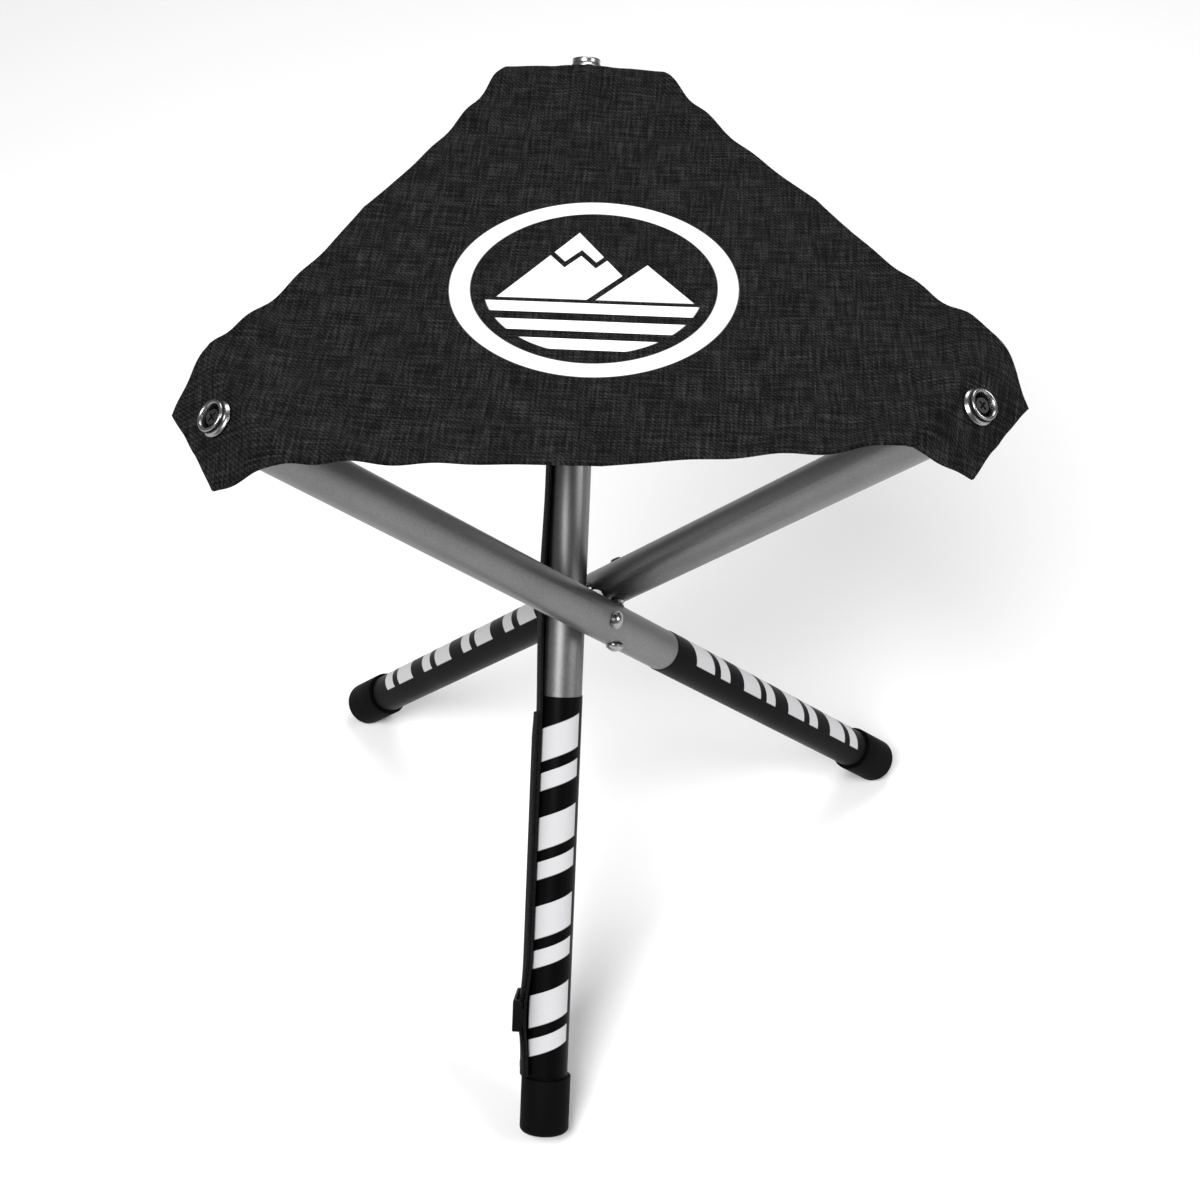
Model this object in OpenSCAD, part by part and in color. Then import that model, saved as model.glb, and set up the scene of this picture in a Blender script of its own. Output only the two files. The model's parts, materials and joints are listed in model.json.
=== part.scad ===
// Folding three-leg camp stool: three tubes cross at a central three-way pivot and carry a
// triangular fabric seat on their upper ends.
// Millimetres, +Z up. The origin is on the ground, under the centre of the pivot.

/* [Stance] */
// Angle of each open leg above the ground
leg_angle = 48.5; // [46:0.5:56]
// Distance from the central axis to each leg's own axis
leg_offset = 15.9; // [15.7:0.1:18]
// Length of tube above the pivot
upper_length = 276; // [240:1:320]
// Length of tube below the pivot
lower_length = 283; // [250:1:330]

/* [Tubes] */
// Outside diameter of the leg tube
tube_d = 22.2; // [19:0.1:22.4]
// Wall of the leg tube
tube_wall = 1.5; // [1:0.1:2]
// Wall of the printed sleeve on the lower half
sleeve_wall = 0.4; // [0.2:0.1:0.8]
// Distance from the pivot down to the top of the sleeve
sleeve_start = 50; // [40:1:90]

/* [Feet] */
// Outside diameter of the rubber foot cap
cap_d = 26.6; // [25:0.1:27]
// Length of the rubber foot cap
cap_length = 31; // [24:1:40]
// Thickness of rubber under the tube end
cap_base = 5; // [3:0.5:6]

/* [Pivot] */
// Diameter of the hub's three pins
pin_d = 5; // [4:0.5:6]
// Diameter of the rivets that hold each leg's pivot block
block_rivet_d = 4; // [3:0.5:4.5]
// Diameter of the rivets' domed outer heads
head_d = 8; // [7:0.5:9]

/* [Seat] */
// Thickness of the seat fabric
cloth_t = 1.4; // [1:0.1:2]
// Width of the fabric where it folds over the tube end
fold_width = 84; // [70:1:100]
// Width of the cut-off tip of each corner
tip_width = 50; // [40:1:60]
// Length of the fabric corner that lies on the tube end
tab_length = 26; // [24:1:30]
// How far the middle of each seat side lies from the central axis
side_distance = 124; // [110:1:126]

/* [Strap] */
// Width of the carry strap
strap_w = 20; // [15:1:22]
// Thickness of the webbing
strap_t = 1.4; // [1:0.1:1.8]
// Distance of the slider below the pivot
slider_drop = 222; // [200:1:226]

/* [Hidden] */
$fn = 64;

// Legs are numbered by the seat corner that they carry: rear, left, right.
REAR = 0;
LEFT = 1;
RIGHT = 2;

tube_r = tube_d / 2;
cap_r = cap_d / 2;
cap_edge = 3;
sleeve_end = lower_length + cap_base - cap_length;
foot_flat = 1.6;
// Height of the pivot: the foot caps are sliced by the ground to a small flat.
pivot_z = (lower_length + cap_base) * sin(leg_angle) + cap_r * cos(leg_angle)
        - cap_edge * (cos(leg_angle) + sin(leg_angle) - 1) - foot_flat;

// Each leg passes both of the others: how far up and down the leg from the pivot, how far round
// from its inner side, and how far apart the two tubes' axes are there
cross_root = sqrt(4 * pow(sin(leg_angle), 2) + pow(cos(leg_angle), 2));
cross_t = sqrt(3) * leg_offset * cos(leg_angle) / pow(cross_root, 2);
cross_turn = acos(sqrt(3) * sin(leg_angle) / cross_root);
cross_distance = 2 * sqrt(3) * leg_offset * sin(leg_angle) / cross_root;

// Hub in the middle, pivot block inside each tube, and the two rivets that hold the block
running_gap = 0.05;
hub_boss_r = leg_offset - tube_r - 0.6;
hub_boss_h = 12;
pin_end = leg_offset + 6;
block_length = 30;
block_gap = 0.05;
head_in = tube_r + 0.2;
head_rim = 0.8;
head_h = 2.8;
head_flange_d = head_d + 1.4;
head_flange_t = 0.4;
inner_head_h = cross_distance / 2 - head_in - 0.2;
// The dome is a cap of a sphere that meets the head's rim and its top.
dome_r = (pow(head_d / 2, 2) + pow(head_h - head_rim, 2)) / (2 * (head_h - head_rim));
dome_drop = head_h - dome_r;

// Plug and screw at the tube's upper end, measured up the leg from the pivot
plug_flange = 1.5;
plug_depth = 20;
plug_bore_d = 4.2;
fit_gap = 0.3;
cloth_in = upper_length + plug_flange + fit_gap;
cloth_out = cloth_in + cloth_t;
cup_d = 15;
cup_h = 3.2;
cup_hole_d = 4.6;
screw_head_d = 9;
screw_head_h = 2.6;
screw_length = 18;
cloth_hole_d = 9;

// The seat folds over the upper rim of each tube end.
fold_y = (upper_length + plug_flange) * cos(leg_angle) - tube_r * sin(leg_angle);
fold_z = pivot_z + (upper_length + plug_flange) * sin(leg_angle) + tube_r * cos(leg_angle);
seat_z = fold_z + fit_gap;
panel_gap = 0.3;
// Direction of each corner's middle line, turned from the leg by the leg's own offset
corner_turn = atan(leg_offset / fold_y);
fold_reach = fold_y / cos(corner_turn);
panel_end = fold_reach - fold_width / 2 * sin(corner_turn) - 1;

// Strap, measured out from the central axis on the rear-corner leg
strap_skin = leg_offset + tube_r + 0.1 + sleeve_wall;
strap_bow = leg_offset + tube_r + 1.5;
strap_top = 236;
strap_bottom = sleeve_end - 1;
// The second layer is sewn on above the bottom rivet.
double_end = strap_bottom - 12;
strap_gap = 2.2;
strap_join = 14;
sewn_length = 8;
sewn_in = 0.5;
bow_half = 14;
double_start = 60;
rivet_d = 3;
rivet_hole_d = 3.2;
rivet_lift = 0.5;
rivet_shank = 0.3 + strap_t + rivet_lift + 0.4;
rivet_places = [strap_top - 8, 5 - strap_bottom];
slider_w = 27;
slider_h = 17;
slider_travel = 110;

// Places its children in a leg's own frame: +Z runs up the tube, -X faces outwards.
module on_leg(i) {
    rotate([0, 0, 120 * i]) translate([-leg_offset, 0, pivot_z])
        rotate([leg_angle - 90, 0, 0]) children();
}

// Places its children on a pin of the hub, +Z pointing outwards from the central axis.
module on_pin(i) {
    translate([0, 0, pivot_z]) rotate([0, 0, 120 * i]) rotate([0, -90, 0]) children();
}

// In a leg's own frame: the place where it passes another leg, +Z pointing to that leg's axis.
module on_crossing(side) {
    translate([0, 0, side * cross_t]) rotate([0, 0, side * cross_turn]) rotate([0, 90, 0]) children();
}

module ring(outer_d, inner_d, height) {
    difference() {
        cylinder(d = outer_d, h = height);
        translate([0, 0, -1]) cylinder(d = inner_d, h = height + 2);
    }
}

module pivot_hub() {
    color("silver") {
        translate([0, 0, pivot_z - hub_boss_h / 2]) cylinder(r = hub_boss_r, h = hub_boss_h);
        for (i = [REAR, LEFT, RIGHT]) on_pin(i) cylinder(d = pin_d, h = pin_end);
    }
}

module leg_tube(i) {
    color("lightsteelblue") on_leg(i) difference() {
        translate([0, 0, -lower_length]) cylinder(d = tube_d, h = lower_length + upper_length);
        translate([0, 0, -lower_length - 1])
            cylinder(d = tube_d - 2 * tube_wall, h = lower_length + upper_length + 2);
        rotate([0, 90, 0]) cylinder(d = pin_d + 1, h = tube_d);
        for (side = [-1, 1]) on_crossing(side) translate([0, 0, -tube_d])
            cylinder(d = block_rivet_d + 2 * running_gap, h = 2 * tube_d);
    }
}

// The block inside a tube that turns on the hub's pin; two rivets hold it.
module pivot_block(i) {
    block_d = tube_d - 2 * tube_wall - 2 * block_gap;
    color("whitesmoke") on_leg(i) difference() {
        translate([0, 0, -block_length / 2]) cylinder(d = block_d, h = block_length);
        rotate([0, 90, 0]) translate([0, 0, leg_offset - pin_end - 1])
            cylinder(d = pin_d + 2 * running_gap, h = tube_d);
        for (side = [-1, 1]) on_crossing(side) translate([0, 0, -tube_d])
            cylinder(d = block_rivet_d + 2 * running_gap, h = 2 * tube_d);
    }
}

module domed_head() {
    rotate_extrude() {
        square([head_flange_d / 2, head_flange_t]);
        intersection() {
            square([head_d / 2, head_h]);
            union() {
                square([head_d / 2, head_rim]);
                translate([0, dome_drop]) circle(r = dome_r);
            }
        }
    }
}

// Rivets through the tube and its block: domed heads outside, low heads between the legs.
module block_rivets(i) {
    color("silver") on_leg(i) for (side = [-1, 1]) on_crossing(side) {
        translate([0, 0, -head_in - 0.5]) cylinder(d = block_rivet_d, h = 2 * head_in + 1);
        rotate([180, 0, 0]) translate([0, 0, head_in]) domed_head();
        translate([0, 0, head_in]) cylinder(d1 = head_d, d2 = head_d - 1.6, h = inner_head_h);
    }
}

module leg_sleeve(i) {
    color("#161616") on_leg(i) translate([0, 0, -sleeve_end])
        ring(tube_d + 2 * sleeve_wall, tube_d, sleeve_end - sleeve_start);
}

// A rubber cup with a rounded lower edge, cut flat where it stands on the ground.
module foot_cap(i) {
    base = lower_length + cap_base;
    color("#1c1c1c") difference() {
        on_leg(i) translate([0, 0, -base]) rotate_extrude() difference() {
            union() {
                square([cap_r - cap_edge, cap_length]);
                translate([0, cap_edge]) square([cap_r, cap_length - cap_edge]);
                translate([cap_r - cap_edge, cap_edge]) circle(r = cap_edge);
            }
            translate([0, cap_base]) square([tube_r, cap_length]);
            translate([-cap_d, -1]) square([cap_d, cap_length]);
        }
        translate([0, 0, -50]) cube([1000, 1000, 100], center = true);
    }
}

module end_plug(i) {
    color("#202020") on_leg(i) difference() {
        union() {
            translate([0, 0, upper_length]) cylinder(d = tube_d, h = plug_flange);
            translate([0, 0, upper_length - plug_depth])
                cylinder(d = tube_d - 2 * tube_wall, h = plug_depth);
        }
        translate([0, 0, upper_length - plug_depth - 1])
            cylinder(d = plug_bore_d, h = plug_depth + plug_flange + 2);
    }
}

// The fabric corner that lies on the tube end, with a hole for the screw.
module seat_corner(i) {
    color("#3a3c40") on_leg(i) translate([0, 0, cloth_in]) difference() {
        linear_extrude(cloth_t) polygon([
            [-fold_width / 2, -tube_r + 1], [fold_width / 2, -tube_r + 1],
            [tip_width / 2, tab_length - tube_r], [-tip_width / 2, tab_length - tube_r]]);
        translate([0, 0, -1]) cylinder(d = cloth_hole_d, h = cloth_t + 2);
    }
}

// A countersunk cup washer; its foot goes through the fabric to the plug.
module cup_washer(i) {
    color("gainsboro") on_leg(i) translate([0, 0, upper_length + plug_flange])
        rotate_extrude() polygon([
            [cup_hole_d / 2, 0], [cloth_hole_d / 2 - 0.4, 0],
            [cloth_hole_d / 2 - 0.4, fit_gap + cloth_t], [cup_d / 2, fit_gap + cloth_t],
            [cup_d / 2, fit_gap + cloth_t + 0.8], [cup_d / 2 - 1.6, fit_gap + cloth_t + cup_h],
            [screw_head_d / 2 + 0.4, fit_gap + cloth_t + cup_h],
            [screw_head_d / 2 + 0.2, fit_gap + cloth_t + 0.6], [cup_hole_d / 2, fit_gap + cloth_t + 0.6]]);
}

// A cross-recess screw that threads into the plug.
module seat_screw(i) {
    head_base = upper_length + plug_flange + fit_gap + cloth_t + 0.6;
    color("silver") on_leg(i) difference() {
        union() {
            translate([0, 0, head_base - screw_length])
                cylinder(d = plug_bore_d, h = screw_length);
            translate([0, 0, head_base])
                cylinder(d1 = screw_head_d, d2 = screw_head_d - 2, h = screw_head_h);
        }
        for (a = [0, 90]) rotate([0, 0, a]) translate([-2.4, -0.5, head_base + 1])
            cube([4.8, 1, screw_head_h]);
    }
}

// One third of the seat: from the fold line at a corner to the centre and both side middles.
module seat_panel(i) {
    half_fold = fold_width / 2;
    color("#3a3c40") translate([0, 0, seat_z]) rotate([0, 0, 120 * i + corner_turn])
        linear_extrude(cloth_t) offset(delta = -panel_gap / 2) polygon([
            [-half_fold, panel_end], [-side_distance * sin(60), side_distance * cos(60)],
            [0, 0],
            [side_distance * sin(60), side_distance * cos(60)], [half_fold, panel_end]]);
}

// A piece of webbing on the rear-corner leg, given by its profile of (out from the central
// axis, up the leg) points.
module webbing(points) {
    translate([leg_offset, strap_w / 2, 0]) rotate([90, 0, 0]) linear_extrude(strap_w)
        polygon(points);
}

// The strap lies along the outer side of the leg, lifted a little by the rivets' heads;
// below the pivot a second layer runs back through the slider and is sewn on at both ends.
module carry_strap() {
    inner = -strap_skin - strap_t;
    outer = inner - strap_gap;
    color("#141414") on_leg(REAR) difference() {
        union() {
            webbing([
                [-strap_skin, strap_top], [-strap_bow, bow_half], [-strap_bow, -bow_half],
                [-strap_skin, -double_start], [-strap_skin, -strap_bottom],
                [inner, -strap_bottom], [inner, -double_start],
                [-strap_bow - strap_t, -bow_half], [-strap_bow - strap_t, bow_half],
                [inner, strap_top]]);
            for (end = [[-double_start, -1], [-double_end, 1]]) webbing([
                [inner + sewn_in, end[0]], [outer - strap_t, end[0] + end[1] * strap_join],
                [outer, end[0] + end[1] * (strap_join + sewn_in)],
                [inner + sewn_in, end[0] + end[1] * sewn_length]]);
            webbing([
                [outer - strap_t, strap_join - double_end], [outer, strap_join - double_end],
                [outer, -double_start - strap_join], [outer - strap_t, -double_start - strap_join]]);
        }
        for (t = rivet_places) strap_rivet_shank(t, rivet_hole_d);
    }
}

// The straight shank of a strap rivet, from the tube's skin outwards.
module strap_rivet_shank(t, d) {
    translate([-tube_r - sleeve_wall, 0, t]) rotate([0, -90, 0]) cylinder(d = d, h = rivet_shank);
}

// Rivets that hold the ends of the strap to the leg.
module strap_rivets() {
    color("silver") on_leg(REAR) for (t = rivet_places) {
        strap_rivet_shank(t, rivet_d);
        translate([leg_offset - strap_skin - strap_t - rivet_lift, 0, t]) rotate([0, -90, 0])
            cylinder(d1 = 7, d2 = 5, h = 1);
    }
}

// A slider with a bar between the strap's two layers; it runs up and down the strap.
module strap_slider() {
    depth = 2 * strap_t + strap_gap;
    clear = 0.3;
    rim = 1.6;
    color("#101010") on_leg(REAR) translate([leg_offset - strap_skin, 0, -slider_drop]) {
        difference() {
            translate([-depth - clear - rim, -slider_w / 2, -slider_h / 2])
                cube([depth + clear + rim - strap_t - 0.4, slider_w, slider_h]);
            translate([-depth - clear, -strap_w / 2 - clear, -slider_h / 2 - 1])
                cube([depth + clear, strap_w + 2 * clear, slider_h + 2]);
        }
        translate([-strap_t - strap_gap + 0.4, -slider_w / 2, -3])
            cube([strap_gap - 0.8, slider_w, 6]);
    }
}

pivot_hub();
leg_tube(REAR);  // leg_tube_rear
leg_tube(LEFT);  // leg_tube_left
leg_tube(RIGHT);  // leg_tube_right
pivot_block(REAR);  // pivot_block_rear
pivot_block(LEFT);  // pivot_block_left
pivot_block(RIGHT);  // pivot_block_right
block_rivets(REAR);  // block_rivets_rear
block_rivets(LEFT);  // block_rivets_left
block_rivets(RIGHT);  // block_rivets_right
leg_sleeve(REAR);  // leg_sleeve_rear
leg_sleeve(LEFT);  // leg_sleeve_left
leg_sleeve(RIGHT);  // leg_sleeve_right
foot_cap(REAR);  // foot_cap_rear
foot_cap(LEFT);  // foot_cap_left
foot_cap(RIGHT);  // foot_cap_right
end_plug(REAR);  // end_plug_rear
end_plug(LEFT);  // end_plug_left
end_plug(RIGHT);  // end_plug_right
seat_corner(REAR);  // seat_corner_rear
seat_corner(LEFT);  // seat_corner_left
seat_corner(RIGHT);  // seat_corner_right
cup_washer(REAR);  // cup_washer_rear
cup_washer(LEFT);  // cup_washer_left
cup_washer(RIGHT);  // cup_washer_right
seat_screw(REAR);  // seat_screw_rear
seat_screw(LEFT);  // seat_screw_left
seat_screw(RIGHT);  // seat_screw_right
seat_panel(REAR);  // seat_panel_rear
seat_panel(LEFT);  // seat_panel_left
seat_panel(RIGHT);  // seat_panel_right
carry_strap();
strap_rivets();
strap_slider();
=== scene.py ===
import json
import math

import bmesh
import bpy
from bpy.props import FloatProperty, FloatVectorProperty, IntProperty, PointerProperty
from mathutils import Matrix, Vector


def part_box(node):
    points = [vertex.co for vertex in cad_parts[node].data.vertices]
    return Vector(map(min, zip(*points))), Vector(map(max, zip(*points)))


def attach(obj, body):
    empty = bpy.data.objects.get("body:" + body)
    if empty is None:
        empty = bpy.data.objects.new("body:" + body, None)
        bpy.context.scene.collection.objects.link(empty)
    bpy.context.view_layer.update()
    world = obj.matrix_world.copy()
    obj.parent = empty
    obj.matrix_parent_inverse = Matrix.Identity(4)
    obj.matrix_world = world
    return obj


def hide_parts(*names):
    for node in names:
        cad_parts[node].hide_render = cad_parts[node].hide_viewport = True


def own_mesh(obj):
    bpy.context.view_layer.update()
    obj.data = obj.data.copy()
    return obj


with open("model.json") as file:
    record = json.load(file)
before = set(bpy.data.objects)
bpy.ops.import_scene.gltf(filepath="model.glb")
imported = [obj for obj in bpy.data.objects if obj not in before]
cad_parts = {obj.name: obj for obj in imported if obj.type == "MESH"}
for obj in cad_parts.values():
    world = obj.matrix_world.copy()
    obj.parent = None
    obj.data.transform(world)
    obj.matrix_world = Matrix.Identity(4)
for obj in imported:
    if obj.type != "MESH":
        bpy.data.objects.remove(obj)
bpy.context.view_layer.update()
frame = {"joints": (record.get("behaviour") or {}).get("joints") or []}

bl_info = {
    "name": "Three-leg camp stool",
    "version": (1, 0, 0),
    "blender": (4, 5, 0),
    "location": "View3D > Sidebar > Camp stool",
    "description": "Builds the seat, strap, fittings and finishes of a folding three-leg stool",
    "category": "Object",
}

# ---------------------------------------------------------------- places taken from the frame

CORNERS = ("rear", "left", "right")
JOINTS = {joint["name"]: joint for joint in frame["joints"]}


def joint_place(name):
    return Vector(JOINTS[name]["pos_m"])


# The rear-corner leg: a point on its axis at the pivot, its direction, and the seat's fold line.
PIVOT = joint_place("leg_fold_rear")
FOLD = joint_place("seat_fold_rear")
LEG_UP = Vector(JOINTS["slider_travel"]["axis"]).normalized()
LEG_ANGLE = math.atan2(LEG_UP.z, LEG_UP.y)
TAB_DROP = math.pi / 2 - LEG_ANGLE
OFFSET = -PIVOT.x
TUBE_R = (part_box("leg_tube_rear")[1].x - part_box("leg_tube_rear")[0].x) / 2
SEAT_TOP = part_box("seat_panel_rear")[1].z
# Step across the flat pattern, in metres, that leads from the print to bare cloth
BARE_CLOTH = 1.0
CORNER_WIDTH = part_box("seat_corner_rear")[1].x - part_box("seat_corner_rear")[0].x
SIDE_TURN = math.radians(60)
# Direction of the rear corner's middle line, and the line across it
MIDDLE = Vector((-OFFSET, FOLD.y, 0)).normalized()


def turn(corner):
    """Turns the rear corner's places to another corner's."""
    return Matrix.Rotation(2 * math.pi / 3 * CORNERS.index(corner), 4, "Z")


def leg_frame(corner):
    """The leg's own frame: +Z runs up the tube, -X faces outwards, -Y is its upper side."""
    tilt = Matrix.Rotation(LEG_ANGLE - math.pi / 2, 4, "X")
    return turn(corner) @ Matrix.Translation(PIVOT) @ tilt


def up_the_leg(z):
    """How far up the rear-corner leg from the pivot a height lies."""
    return (z - PIVOT.z) / LEG_UP.z


def smooth(x):
    x = min(max(x, 0.0), 1.0)
    return x * x * (3 - 2 * x)


# ---------------------------------------------------------------- settings


class SeatSettings(bpy.types.PropertyGroup):
    thickness: FloatProperty(
        name="Thickness", description="Thickness of the seat fabric",
        default=0.0014, min=0.0005, max=0.003, unit="LENGTH")
    side_distance: FloatProperty(
        name="Side distance", description="Distance from the seat's centre to the middle of a side",
        default=0.125, min=0.1, max=0.13, unit="LENGTH")
    tip_width: FloatProperty(
        name="Tip width", description="Width of the cut-off tip of each corner",
        default=0.054, min=0.03, max=0.07, unit="LENGTH")
    tab_length: FloatProperty(
        name="Tab length", description="Length of the fabric that lies on a tube end",
        default=0.030, min=0.02, max=0.034, unit="LENGTH")
    sag: FloatProperty(
        name="Sag", description="How far the middle of the seat hangs",
        default=0.010, min=0.0, max=0.02, unit="LENGTH")
    droop: FloatProperty(
        name="Droop", description="How far the fabric drops on both sides of a tube end",
        default=0.0015, min=0.0, max=0.012, unit="LENGTH")
    pucker: FloatProperty(
        name="Pucker", description="Height of the soft ridges that run out from the screws",
        default=0.0012, min=0.0, max=0.004, unit="LENGTH")
    edge_ripple: FloatProperty(
        name="Edge ripple", description="Height of the ripples along the free edges near a corner",
        default=0.0018, min=0.0, max=0.004, unit="LENGTH")
    edge_dip: FloatProperty(
        name="Edge dip", description="How far each side curves in between two corners",
        default=0.003, min=0.0, max=0.01, unit="LENGTH")
    divisions: IntProperty(
        name="Divisions", description="Divisions along each edge of a seat piece",
        default=44, min=8, max=90)
    gathered_width: FloatProperty(
        name="Gathered width", description="Share of its width that a corner keeps when folded",
        default=0.25, min=0.2, max=1.0, subtype="FACTOR")
    dark_yarn: FloatVectorProperty(
        name="Dark yarn", description="Colour of the darkest yarn",
        default=(0.0015, 0.0015, 0.0016), subtype="COLOR", size=3)
    light_yarn: FloatVectorProperty(
        name="Light yarn", description="Colour of the palest yarn",
        default=(0.046, 0.046, 0.047), subtype="COLOR", size=3)
    print_colour: FloatVectorProperty(
        name="Print", description="Colour of the printed emblem",
        default=(0.86, 0.86, 0.86), subtype="COLOR", size=3)
    emblem_radius: FloatProperty(
        name="Emblem radius", description="Outer radius of the printed emblem",
        default=0.066, min=0.03, max=0.08, unit="LENGTH")


class LegSettings(bpy.types.PropertyGroup):
    alloy: FloatVectorProperty(
        name="Alloy", description="Colour of the satin tube",
        default=(0.19, 0.19, 0.192), subtype="COLOR", size=3)
    sleeve: FloatVectorProperty(
        name="Sleeve", description="Colour of the printed sleeve",
        default=(0.0012, 0.0012, 0.0013), subtype="COLOR", size=3)
    bars: FloatVectorProperty(
        name="Bars", description="Colour of the bars on the sleeve",
        default=(0.5, 0.5, 0.51), subtype="COLOR", size=3)
    bar_pitch: FloatProperty(
        name="Bar pitch", description="Distance between the bars on the sleeve",
        default=0.024, min=0.01, max=0.05, unit="LENGTH")
    bar_reach: FloatProperty(
        name="Bar reach", description="How far each bar reaches round the tube from its middle",
        default=0.0122, min=0.004, max=0.016, unit="LENGTH")
    rubber: FloatVectorProperty(
        name="Rubber", description="Colour of the foot caps",
        default=(0.0025, 0.0025, 0.0026), subtype="COLOR", size=3)


class StrapSettings(bpy.types.PropertyGroup):
    width: FloatProperty(
        name="Width", description="Width of the carry strap",
        default=0.020, min=0.01, max=0.022, unit="LENGTH")
    thickness: FloatProperty(
        name="Thickness", description="Thickness of the webbing",
        default=0.0014, min=0.0008, max=0.002, unit="LENGTH")
    layer_gap: FloatProperty(
        name="Layer gap", description="Space between the strap's two layers",
        default=0.0005, min=0.0003, max=0.0022, unit="LENGTH")
    curl: FloatProperty(
        name="Curl", description="How far the edges of the webbing curl towards the leg",
        default=0.0028, min=0.0, max=0.004, unit="LENGTH")
    rivet_lift: FloatProperty(
        name="Rivet lift", description="How far the pivot's rivet heads hold the strap off the leg",
        default=0.0010, min=0.0, max=0.003, unit="LENGTH")
    double_start: FloatProperty(
        name="Double start", description="Distance below the pivot where the second layer starts",
        default=0.060, min=0.02, max=0.08, unit="LENGTH")
    webbing: FloatVectorProperty(
        name="Webbing", description="Colour of the webbing",
        default=(0.0025, 0.0025, 0.0027), subtype="COLOR", size=3)


class StageSettings(bpy.types.PropertyGroup):
    azimuth: FloatProperty(
        name="Azimuth", description="Camera's turn round the stool, in degrees",
        default=3.546, min=-180, max=180)
    elevation: FloatProperty(
        name="Elevation", description="Camera's height above the horizon, in degrees",
        default=45.495, min=0, max=90)
    distance: FloatProperty(
        name="Distance", description="Distance from the camera to the pivot",
        default=1.045, min=0.4, max=5, unit="LENGTH")
    lens: FloatProperty(
        name="Lens", description="Focal length in millimetres", default=59.04, min=20, max=200)
    floor: FloatVectorProperty(
        name="Floor", description="Colour of the floor",
        default=(0.8, 0.8, 0.8), subtype="COLOR", size=3)


# ---------------------------------------------------------------- mesh helpers


def keep_flat_places(bm):
    """Notes each vertex's flat place before the sheet is shaped, for its cloth pattern."""
    flat = bm.verts.layers.float_vector.new("flat")
    for vert in bm.verts:
        vert[flat] = vert.co.copy()


def flat_places_to_uv(bm):
    flat = bm.verts.layers.float_vector["flat"]
    uv = bm.loops.layers.uv.new("Flat")
    for face in bm.faces:
        for loop in face.loops:
            loop[uv].uv = loop.vert[flat].xy


def thicken(bm, thickness, outwards):
    """Gives an open sheet its thickness, away from the side that faces outwards."""
    bm.normal_update()
    facing = sum((face.normal * face.calc_area() for face in bm.faces), Vector())
    if facing.dot(outwards) < 0:
        bmesh.ops.reverse_faces(bm, faces=bm.faces[:])
    bmesh.ops.solidify(bm, geom=bm.faces[:], thickness=thickness)
    bmesh.ops.recalc_face_normals(bm, faces=bm.faces[:])


def piece_from(bm, name, material, body, crease=40):
    """Turns a bmesh into a finished object that rides on a body."""
    mesh = bpy.data.meshes.new(name)
    bm.to_mesh(mesh)
    bm.free()
    mesh.shade_smooth()
    mesh.set_sharp_from_angle(angle=math.radians(crease))
    mesh.materials.append(material)
    piece = bpy.data.objects.new(name, mesh)
    bpy.context.scene.collection.objects.link(piece)
    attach(piece, body)
    return piece


def finish_node(node, material):
    """Gives a CAD node its finish."""
    target = bpy.data.objects[node]
    target.data.materials.clear()
    target.data.materials.append(material)


def turned_ring(profile, steps=72):
    """A bmesh made by turning a closed profile of (radius, height) pairs round +Z."""
    bm = bmesh.new()
    verts = [bm.verts.new((radius, 0, height)) for radius, height in profile]
    edges = [bm.edges.new((a, b)) for a, b in zip(verts, verts[1:] + verts[:1])]
    bmesh.ops.spin(
        bm, geom=verts + edges, cent=(0, 0, 0), axis=(0, 0, 1), angle=2 * math.pi,
        steps=steps, use_merge=True)
    bmesh.ops.recalc_face_normals(bm, faces=bm.faces[:])
    return bm


def softened_copy(node, name, material, body, width, segments=3, crease=40):
    """A copy of a CAD node with its sharp edges rounded, which replaces the node."""
    bm = bmesh.new()
    bm.from_mesh(bpy.data.objects[node].data)
    bmesh.ops.remove_doubles(bm, verts=bm.verts[:], dist=1e-6)
    bmesh.ops.dissolve_limit(
        bm, angle_limit=math.radians(1), verts=bm.verts[:], edges=bm.edges[:])
    sharp = [edge for edge in bm.edges
             if len(edge.link_faces) == 2 and edge.calc_face_angle() > math.radians(35)]
    bmesh.ops.bevel(
        bm, geom=sharp, offset=width, offset_type="OFFSET", affect="EDGES",
        segments=segments, profile=0.5, material=-1, clamp_overlap=True)
    piece = piece_from(bm, name, material, body, crease)
    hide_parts(node)
    return piece


# ---------------------------------------------------------------- shader helpers


def add(tree, kind, **settings):
    node = tree.nodes.new(kind)
    for key, value in settings.items():
        setattr(node, key, value)
    return node


def feed(tree, socket, value):
    if isinstance(value, bpy.types.NodeSocket):
        tree.links.new(value, socket)
    else:
        socket.default_value = value


def calc(tree, operation, first, second=0.0, third=0.0):
    node = add(tree, "ShaderNodeMath", operation=operation)
    feed(tree, node.inputs[0], first)
    feed(tree, node.inputs[1], second)
    feed(tree, node.inputs[2], third)
    return node.outputs[0]


def remap(tree, value, low, high, to_low=0.0, to_high=1.0):
    node = add(tree, "ShaderNodeMapRange")
    for socket, number in zip(node.inputs[0:5], (value, low, high, to_low, to_high)):
        feed(tree, socket, number)
    return node.outputs["Result"]


def split(tree, vector):
    node = add(tree, "ShaderNodeSeparateXYZ")
    feed(tree, node.inputs[0], vector)
    return node.outputs


def join(tree, x, y, z=0.0):
    node = add(tree, "ShaderNodeCombineXYZ")
    for socket, value in zip(node.inputs, (x, y, z)):
        feed(tree, socket, value)
    return node.outputs[0]


def noise(tree, vector, scale, detail=3.0, roughness=0.5):
    node = add(tree, "ShaderNodeTexNoise")
    feed(tree, node.inputs["Vector"], vector)
    feed(tree, node.inputs["Scale"], scale)
    feed(tree, node.inputs["Detail"], detail)
    feed(tree, node.inputs["Roughness"], roughness)
    return node.outputs[0]


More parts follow.
